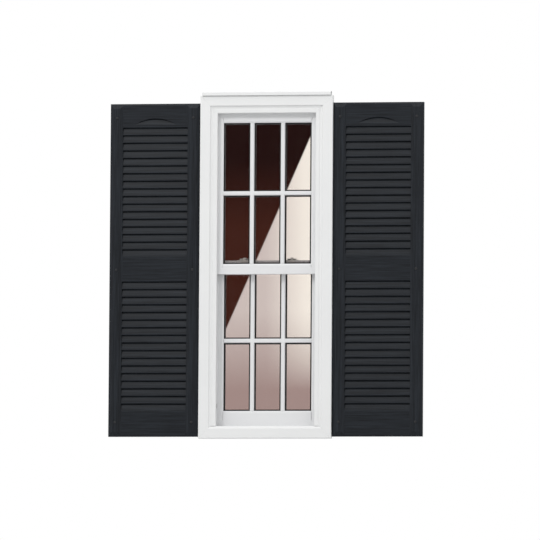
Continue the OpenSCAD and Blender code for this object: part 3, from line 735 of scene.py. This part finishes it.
def pile_tree():
    """Pile: a grid of tapered tufts that stand along Y on a backing, each with its own lean."""
    sizes = ("Width", "Height", "Depth", "Spacing", "Middle", "Back")
    graph, given = geometry_tree("pile", sizes, ("Seed",))
    spacing = given["Spacing"]
    grid = graph.node(
        "GeometryNodeMeshGrid",
        None,
        {
            "Size X": given["Width"] - spacing,
            "Size Y": given["Height"] - spacing,
            "Vertices X": given["Width"] / spacing,
            "Vertices Y": given["Height"] / spacing,
        },
    )
    placed = graph.node(
        "GeometryNodeTransform",
        None,
        {
            "Geometry": grid,
            "Rotation": (math.pi / 2, 0.0, 0.0),
            "Translation": graph.vector(0.0, given["Back"], given["Middle"]),
        },
    )
    tuft = graph.node(
        "GeometryNodeMeshCone",
        None,
        {
            "Vertices": 5,
            "Radius Top": spacing * 0.16,
            "Radius Bottom": spacing * 0.46,
            "Depth": given["Depth"],
        },
    )
    out = -math.pi / 2  # a tuft stands out along Y
    droop, side, turn = 0.16, 0.14, 6.0  # and leans and turns by up to these angles
    lean = graph.node(
        "FunctionNodeRandomValue",
        {"data_type": "FLOAT_VECTOR"},
        {0: (out - droop, -side, 0.0), 1: (out + droop, side, turn), "Seed": given["Seed"]},
    )
    length = graph.node(
        "FunctionNodeRandomValue", {"data_type": "FLOAT"}, {2: 0.84, 3: 0.99, "Seed": given["Seed"]}, 1
    )
    scale = graph.vector(1.0, 1.0, length)
    sockets = {"Points": placed, "Instance": tuft, "Rotation": lean, "Scale": scale}
    tufts = graph.node("GeometryNodeInstanceOnPoints", None, sockets)
    whole = graph.node("GeometryNodeJoinGeometry", None, {0: [given["Geometry"], tufts]})
    return close_tree(graph, whole, given["Material"])


def spiral_rod_tree():
    """A flat bar twisted along Z, joined to the foot that the tree is given."""
    sizes = ("X", "Y", "Low", "High", "Width", "Thickness", "Pitch")
    graph, given = geometry_tree("spiral_rod", sizes)
    line = graph.node(
        "GeometryNodeCurvePrimitiveLine",
        None,
        {
            "Start": graph.vector(given["X"], given["Y"], given["Low"]),
            "End": graph.vector(given["X"], given["Y"], given["High"]),
        },
    )
    rings = 20.0  # in one turn of the bar
    count = (given["High"] - given["Low"]) / given["Pitch"] * rings
    line = graph.node("GeometryNodeResampleCurve", None, {"Curve": line, "Count": count})
    height = graph.parts(graph.node("GeometryNodeInputPosition"))[2]
    line = graph.node(
        "GeometryNodeSetCurveTilt",
        None,
        {"Curve": line, "Tilt": height * (2 * math.pi) / given["Pitch"]},
    )
    bar = graph.node(
        "GeometryNodeCurvePrimitiveQuadrilateral",
        None,
        {"Width": given["Width"], "Height": given["Thickness"]},
    )
    bar = graph.node(
        "GeometryNodeCurveToMesh", None, {"Curve": line, "Profile Curve": bar, "Fill Caps": True}
    )
    whole = graph.node("GeometryNodeJoinGeometry", None, {0: [given["Geometry"], bar]})
    return close_tree(graph, whole, given["Material"])


# Operators ---------------------------------------------------------------------------------------


class SHUTTERS_OT_mouldings(bpy.types.Operator):
    """Builds both moulded shutters: a rounded moulding with two openings, and their louvres"""

    bl_idname = "shutters.mouldings"
    bl_label = "Shutters and louvres"

    def section(self, look, start, front, top):
        """The top louvre's section as one face at x = start, from its lap behind the rail above."""
        wall, nose = look.wall, look.nose
        root = front + look.depth
        lap = look.pitch + 0.8 * MM
        proud, curl = 0.03 * MM, 1.2 * MM  # the nose stands proud of the moulding, and curls back
        outline = [(root - 0.4 * MM, lap)]
        outline += [
            (front - proud + curl * (1 - math.cos(turn)), nose * (1 - math.sin(turn)))
            for turn in (math.radians(k) for k in range(0, 91, 18))
        ]
        outline += [
            (root, 0.0),
            (root + wall, 0.0),
            (root + wall, wall),
            (front + 1.1 * wall, wall),
            (root + wall - 0.3 * MM, lap),
        ]
        mesh = bpy.data.meshes.new("louvre_section")
        foot = top - look.pitch
        mesh.from_pydata([(start, y, z + foot) for y, z in outline], [], [range(len(outline))])
        shape = bmesh.new()
        shape.from_mesh(mesh)
        shape.faces.ensure_lookup_table()
        if shape.faces[0].normal.x < 0:
            bmesh.ops.reverse_faces(shape, faces=shape.faces)
        shape.to_mesh(mesh)
        shape.free()
        return mesh

    def execute(self, context):
        look = context.scene.shutter_look
        material = moulded_vinyl(look)
        tree = slat_tree()
        clear, lap = 10 * MM, 0.1 * MM  # a cutter clears the moulding, and louvres lap into its sides
        for node in SHUTTERS:
            low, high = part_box(node)
            front = low.y + look.drop
            middle = (low.x + high.x) / 2
            half = (high.x - low.x) / 2 - look.stile + look.wall / 2
            bank = look.slats * look.pitch
            tops = (high.z - look.top_rail, low.z + look.bottom_rail + bank)
            moulding = add_object(node + "_moulding", merged(node))
            add_rounding(moulding, look.rounding)
            baked(moulding)
            sizes = {"Length": 2 * (half + lap), "Pitch": look.pitch, "Slats": look.slats}
            cutters, banks = [], []
            for place, top in zip(("upper", "lower"), tops):
                corner = Vector((middle - half, low.y - clear, top - bank + look.wall / 2))
                opposite = Vector((middle + half, high.y + clear, top - look.wall / 2))
                cutter = add_object("opening", box_mesh("opening", corner, opposite))
                opening = moulding.modifiers.new("Opening", "BOOLEAN")
                opening.object, opening.operation, opening.solver = cutter, "DIFFERENCE", "EXACT"
                cutters.append(cutter)
                section = self.section(look, middle - half - lap, front, top)
                name = f"{node}_{place}_louvres"
                banks.append(grow(name, section, tree, {**sizes, "Material": material}))
            baked(moulding)
            for cutter in cutters:
                bpy.data.objects.remove(cutter)
            paint(moulding, material)
            for piece in (moulding, *banks):
                ride_for(piece, node)
        return {"FINISHED"}


class SHUTTERS_OT_screws(bpy.types.Operator):
    """Builds every screw: those through the shutters, and those of the balances, locks and keepers"""

    bl_idname = "shutters.screws"
    bl_label = "Screws"

    def execute(self, context):
        look = context.scene.hardware_look
        tree = screw_tree()
        black = painted_screw_finish()
        zinc = zinc_finish("steel_screw", 0.004, (0.52, 0.53, 0.55), (0.72, 0.73, 0.74), 0.24)
        big = {
            "Head Radius": look.head,
            "Head Height": look.head_height,
            "Shank Radius": look.shank,
            "Thread Radius": look.thread,
            "Thread Pitch": look.pitch,
            "Material": black,
        }
        small = {
            "Head Radius": look.small_head,
            "Head Height": look.small_height,
            "Shank Radius": look.small_thread * 0.9,
            "Thread Radius": look.small_thread,
            "Thread Pitch": look.pitch * 0.6,
            "Material": zinc,
        }
        for side in ("left", "right"):
            node = side + "_shutter_screws"
            low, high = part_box(node)
            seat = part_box(side + "_shutter")[0].y
            places = [
                (x, seat, z)
                for x in (low.x + look.head, high.x - look.head)
                for z in (low.z + look.head, 0.0, high.z - look.head)
            ]
            sizes = {**big, "Plain Length": -seat, "Length": high.y - seat}
            self.add(node, places, (0, -1, 0), tree, sizes, "black_screw")
        low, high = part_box("balance_screws")
        head, height = look.small_head, look.small_height
        inset = 0.4 * MM  # from a balance tube's near side to the top of its screw's head
        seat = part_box("left_outer_balance_tube")[1].x - height - inset
        places = [
            (side * -seat, y, high.z - head) for side in (-1, 1) for y in (low.y + head, high.y - head)
        ]
        aims = [(-1 if place[0] > 0 else 1, 0, 0) for place in places]
        sizes = {**small, "Plain Length": 1.0 * MM, "Length": high.x + seat}
        self.add("balance_screws", places, aims, tree, sizes, "steel_screw")
        small["Plain Length"] = 1.5 * MM
        low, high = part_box("keeper_screws")
        across = self.across("keeper_screws", "left_lock_keeper", head)
        places = [(x, high.y - height, high.z - head) for x in across]
        sizes = {**small, "Length": high.y - height - low.y}
        self.add("keeper_screws", places, (0, 1, 0), tree, sizes, "steel_screw")
        low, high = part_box("lock_screws")
        across = self.across("lock_screws", "left_lock_base", head)
        places = [(x, high.y - head, high.z - height) for x in across]
        sizes = {**small, "Length": high.z - height - low.z}
        self.add("lock_screws", places, (0, 0, 1), tree, sizes, "steel_screw")
        return {"FINISHED"}

    def across(self, screws, holder, head):
        """Where four screws stand along X: on both sides of the left holder, and of the right one."""
        left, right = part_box(holder)
        centre = (left.x + right.x) / 2
        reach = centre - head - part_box(screws)[0].x
        return [side * (centre + step * reach) for side in (-1, 1) for step in (-1, 1)]

    def add(self, node, places, aims, tree, sizes, slot):
        """A node's screws: the underside of each head is at its place, and the head looks at its aim."""
        if not isinstance(aims, list):
            aims = [aims] * len(places)
        piece = grow(node + "_threaded", points_mesh(node, places, aims), tree, sizes)
        ride_for(piece, node)


class SHUTTERS_OT_casing(bpy.types.Operator):
    """Finishes the mitred casing boards and the drip cap"""

    bl_idname = "shutters.casing"
    bl_label = "Casing"

    def execute(self, context):
        look = context.scene.joinery_look
        material = board_finish(look)
        for node in BOARDS:
            finished(node, look.board_edge, material, 3)
        return {"FINISHED"}


class SHUTTERS_OT_window(bpy.types.Operator):
    """Finishes the window frame, the sash members, the beads, the bars and the finger rail"""

    bl_idname = "shutters.window"
    bl_label = "Frame and sashes"

    def execute(self, context):
        look = context.scene.joinery_look
        vinyl = {way: extruded_vinyl(look, way) for way in (UPRIGHT, LEVEL)}
        level = [node for node in FRAME_PARTS if "jamb" not in node]
        upright = [node for node in FRAME_PARTS if "jamb" in node]
        for sash in SASHES:
            rail = "top_rail" if sash == "upper" else "bottom_rail"
            level += [f"{sash}_sash_{rail}", f"{sash}_sash_meeting_rail"]
            level += [f"{sash}_glazing_beads"]
            upright += [f"{sash}_sash_left_stile", f"{sash}_sash_right_stile"]
            upright += [f"{sash}_outer_muntins", f"{sash}_inner_muntins"]
        for way, nodes in ((LEVEL, [*level, "lift_rail"]), (UPRIGHT, upright)):
            for node in nodes:
                finished(node, look.vinyl_edge, vinyl[way])
        return {"FINISHED"}


class SHUTTERS_OT_glazing(bpy.types.Operator):
    """Finishes the glass, the spacers and the spacer bars between the panes"""

    bl_idname = "shutters.glazing"
    bl_label = "Glazing"

    def execute(self, context):
        look = context.scene.glazing_look
        outer = pane_finish(look, "tinted_glass_outer", look.outer_veil)
        inner = pane_finish(look, "tinted_glass_inner", look.inner_veil)
        black = spacer_finish()
        for sash in SASHES:
            finished(f"{sash}_outer_glass", look.edge, outer)
            finished(f"{sash}_inner_glass", look.edge, inner)
            finished(f"{sash}_glass_spacer", look.edge, black)
            finished(f"{sash}_spacer_bars", look.edge, black)
        return {"FINISHED"}


class SHUTTERS_OT_balances(bpy.types.Operator):
    """Builds the balances: tubes on the jambs, and spiral rods with feet in the sashes"""

    bl_idname = "shutters.balances"
    bl_label = "Balances"

    def execute(self, context):
        look = context.scene.hardware_look
        zinc = zinc_finish("galvanised_steel", 0.007, (0.44, 0.45, 0.47), (0.66, 0.67, 0.69), 0.30)
        tree = spiral_rod_tree()
        for side, sign in (("left", -1), ("right", 1)):
            for place in ("outer", "inner"):
                tube = f"{side}_{place}_balance_tube"
                finished(tube, look.tube_edge, zinc)
                low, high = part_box(tube)
                x = sign * (min(abs(low.x), abs(high.x)) + look.rod_offset)
                y = (low.y + high.y) / 2
                node = f"{side}_{place}_balance_rod"
                low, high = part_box(node)
                corner = Vector((high.x, high.y, low.z + look.foot))
                foot = add_object("foot", box_mesh("foot", low, corner))
                add_rounding(foot, look.foot_edge, 3)
                mesh = baked(foot).data
                bpy.data.objects.remove(foot)
                sizes = {
                    "X": x,
                    "Y": y,
                    "Low": low.z + look.foot / 2,
                    "High": high.z,
                    "Width": look.rod_width,
                    "Thickness": look.rod_thickness,
                    "Pitch": look.rod_pitch,
                    "Material": zinc,
                }
                piece = grow(f"{side}_{place}_spiral_rod", mesh, tree, sizes)
                ride_for(piece, node)
        return {"FINISHED"}


class SHUTTERS_OT_locks(bpy.types.Operator):
    """Finishes the sash locks: their housings, cams with thumb levers, and keepers"""

    bl_idname = "shutters.locks"
    bl_label = "Sash locks"

    def execute(self, context):
        edge = context.scene.hardware_look.lock_edge
        enamel = enamel_finish()
        for side in ("left", "right"):
            for part in ("base", "cam", "keeper"):
                finished(f"{side}_lock_{part}", edge, enamel)
        return {"FINISHED"}


class SHUTTERS_OT_seals(bpy.types.Operator):
    """Builds the pile between the meeting rails, the bulb seal under the lower sash and the stops"""

    bl_idname = "shutters.seals"
    bl_label = "Seals and stops"

    def execute(self, context):
        look = context.scene.hardware_look
        rubber = rubber_finish()
        finished("sash_stops", look.stop_edge, rubber, 3)
        low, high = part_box("bottom_seal")
        seal = add_object("bottom_bulb_seal", extruded("bulb", self.bulb(low, high), low.x, high.x))
        paint(seal, rubber)
        smooth(seal.data)
        ride_for(seal, "bottom_seal")
        low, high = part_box("meeting_rail_pile")
        backing_y, root_y = low.y + 0.7 * MM, low.y + 0.5 * MM  # the tufts stand in their backing
        backing = box_mesh("backing", low, Vector((high.x, backing_y, high.z)))
        sizes = {
            "Width": high.x - low.x,
            "Height": high.z - low.z,
            "Depth": high.y - root_y - 0.1 * MM,
            "Spacing": look.bristle,
            "Middle": (low.z + high.z) / 2,
            "Back": root_y,
            "Seed": look.seed,
            "Material": pile_finish(),
        }
        pile = grow("meeting_rail_tufts", backing, pile_tree(), sizes)
        ride_for(pile, "meeting_rail_pile")
        return {"FINISHED"}

    def bulb(self, low, high):
        """The seal's section: a flat flange with a shoulder on each side, and a bulb below it."""
        middle, half = (low.y + high.y) / 2, (high.y - low.y) / 2
        flange, shoulder, neck = (high.z - share * (high.z - low.z) for share in (0.25, 0.42, 0.35))
        side = [(half, high.z), (half, flange), (0.8 * half, shoulder)]
        turns = [math.pi * k / 14 for k in range(15)]
        outline = [(middle - y, z) for y, z in side]
        outline += [
            (middle - 0.72 * half * math.cos(turn), neck - (neck - low.z) * math.sin(turn) ** 0.6)
            for turn in turns
        ]
        outline += [(middle + y, z) for y, z in side[::-1]]
        return outline


def direction(azimuth, elevation):
    """The unit vector from the object towards an azimuth and an elevation."""
    flat = math.cos(elevation)
    return Vector((math.sin(azimuth) * flat, -math.cos(azimuth) * flat, math.sin(elevation)))


class SHUTTERS_OT_stage(bpy.types.Operator):
    """Adds the pale floor, the soft light around, the key light and the camera"""

    bl_idname = "shutters.stage"
    bl_label = "Stage"

    def execute(self, context):
        scene, look = context.scene, context.scene.stage_look
        self.add_floor(look)
        self.add_world(scene, look)
        self.add_key_light(look)
        self.add_camera(scene, look)
        scene.view_settings.view_transform = "Standard"
        return {"FINISHED"}

    def add_floor(self, look):
        mesh = bpy.data.meshes.new("floor")
        reach = look.reach
        corners = [(-reach, -reach), (reach, -reach), (reach, reach), (-reach, reach)]
        mesh.from_pydata([(x, y, -look.floor) for x, y in corners], [], [range(4)])
        floor = add_object("floor", mesh)
        finish = Finish("pale_floor")
        cloud = finish.noise(0.8, 3.0)
        finish.colour(cloud, (0.60, 0.60, 0.60), (0.64, 0.64, 0.64))
        finish.roughness(0.7 + 0.1 * cloud)
        mesh.materials.append(finish.material)

    def add_world(self, scene, look):
        """White behind the object, soft light on it, and a room behind its glass with painted light and
        shade.
        """
        world = bpy.data.worlds.new("soft_room")
        scene.world = world
        world.use_nodes = True
        graph = Graph(world.node_tree)
        place = graph.parts(graph.node("ShaderNodeTexCoord", output=0))
        rays = graph.node("ShaderNodeLightPath").socket.node
        camera = Wire(graph, rays.outputs["Is Camera Ray"])
        glazed = Wire(graph, rays.outputs["Transparent Depth"]).above(0.5)
        # camera rays through the glass see the room's painted light and shade; other camera rays see
        # plain white
        seen = graph.mix(glazed, opaque([1.0] * 3), self.room(graph, look, place))
        light = graph.mix(camera, self.ambient(graph, look, place), seen)
        graph.plug(world.node_tree.nodes["Background"].inputs["Color"], light)

    def ambient(self, graph, look, place):
        """The light all around: brighter from above, and dark where the glass would mirror it."""
        x, y, z = place
        below, above = look.ambient * 0.6, look.ambient * 1.5
        light = graph.mix(z.ramp(-1.0, 1.0), opaque([below] * 3), opaque([above] * 3))
        flag = direction(-look.azimuth, -look.elevation)
        facing = x * flag.x + y * flag.y + z * flag.z
        black = facing.ramp(math.cos(look.flag), math.cos(look.flag * 0.5))
        return graph.mix(black, light, opaque([0.03] * 3))

    def room(self, graph, look, place):
        """The room behind the glass, with painted light and shade: a painted shadow above a slanted
        edge, and painted light below it.

        Places are in metres across and up, from the middle of the view and as far as the object.
        """
        x, _, z = place
        ahead = -direction(look.azimuth, look.elevation)
        across = (x - ahead.x) * (look.distance / math.cos(look.azimuth))
        height = (z - ahead.z) * (look.distance / math.cos(look.elevation))
        slope, start, blur = 2.256, 0.1685, 0.00714  # of the painted shadow's slanted edge
        # share of the painted shadow: 1 above the slanted edge and 0 below it, over a short blur
        shade = (height - slope * across - start).ramp(-blur, blur)
        # painted light and shade: a pale part that is lit more upwards and to the right, brighter than
        # white at its brightest, and a warm dark shadowed part that darkens upwards
        dim, grey, bright = (0.46, 0.34, 0.32), (0.78, 0.69, 0.66), (1.16, 1.11, 1.02)
        warm, deep = (0.058, 0.014, 0.008), (0.014, 0.0018, 0.0012)
        painted_light_rise = height.ramp(-0.5, -0.16667)
        right = across.ramp(-0.01667, 0.15)
        pale = graph.mix(painted_light_rise, opaque(dim), opaque(grey))
        pale = graph.mix(right * painted_light_rise, pale, opaque(bright))
        dark = graph.mix(height.ramp(0.17143, 0.45714), opaque(warm), opaque(deep))
        return graph.mix(shade, pale, dark)

    def add_key_light(self, look):
        data = bpy.data.lights.new("key", "AREA")
        data.shape, data.size, data.energy = "DISK", look.key_size, look.key
        lamp = add_object("key", data)
        away = direction(look.key_azimuth, look.key_elevation)
        lamp.location = away * look.key_distance
        lamp.rotation_euler = away.to_track_quat("Z", "Y").to_euler()

    def add_camera(self, scene, look):
        data = bpy.data.cameras.new("camera")
        data.lens = data.sensor_width * look.distance / look.view
        data.clip_end = 3 * look.reach
        camera = add_object("camera", data)
        back = direction(look.azimuth, look.elevation)
        levelled = 0.6  # share of the level lines' tilt that a roll takes away
        roll = -levelled * math.sin(look.azimuth) * math.sin(look.elevation)
        camera.location = Vector(look.aim) + back * look.distance
        camera.rotation_euler = (Quaternion(back, roll) @ back.to_track_quat("Z", "Y")).to_euler()
        scene.camera = camera


OPERATORS = (
    SHUTTERS_OT_mouldings,
    SHUTTERS_OT_screws,
    SHUTTERS_OT_casing,
    SHUTTERS_OT_window,
    SHUTTERS_OT_glazing,
    SHUTTERS_OT_balances,
    SHUTTERS_OT_locks,
    SHUTTERS_OT_seals,
    SHUTTERS_OT_stage,
)


class SHUTTERS_PT_panel(bpy.types.Panel):
    """Lists the pieces and their settings"""

    bl_label = "Louvred shutters"
    bl_space_type = "VIEW_3D"
    bl_region_type = "UI"
    bl_category = "Shutters"

    def draw(self, context):
        for name, group in GROUPS.items():
            column = self.layout.column()
            for field in group.__annotations__:
                column.prop(getattr(context.scene, name), field)
        for operator in OPERATORS:
            self.layout.operator(operator.bl_idname)


def register():
    for group in (*GROUPS.values(), *OPERATORS, SHUTTERS_PT_panel):
        bpy.utils.register_class(group)
    for name, group in GROUPS.items():
        setattr(bpy.types.Scene, name, bpy.props.PointerProperty(type=group))


def unregister():
    for name in GROUPS:
        delattr(bpy.types.Scene, name)
    for group in (SHUTTERS_PT_panel, *OPERATORS[::-1], *GROUPS.values()):
        bpy.utils.unregister_class(group)


def main():
    register()
    for operator in OPERATORS:
        family, name = operator.bl_idname.split(".")
        getattr(getattr(bpy.ops, family), name)()


if __name__ == "__main__":
    main()
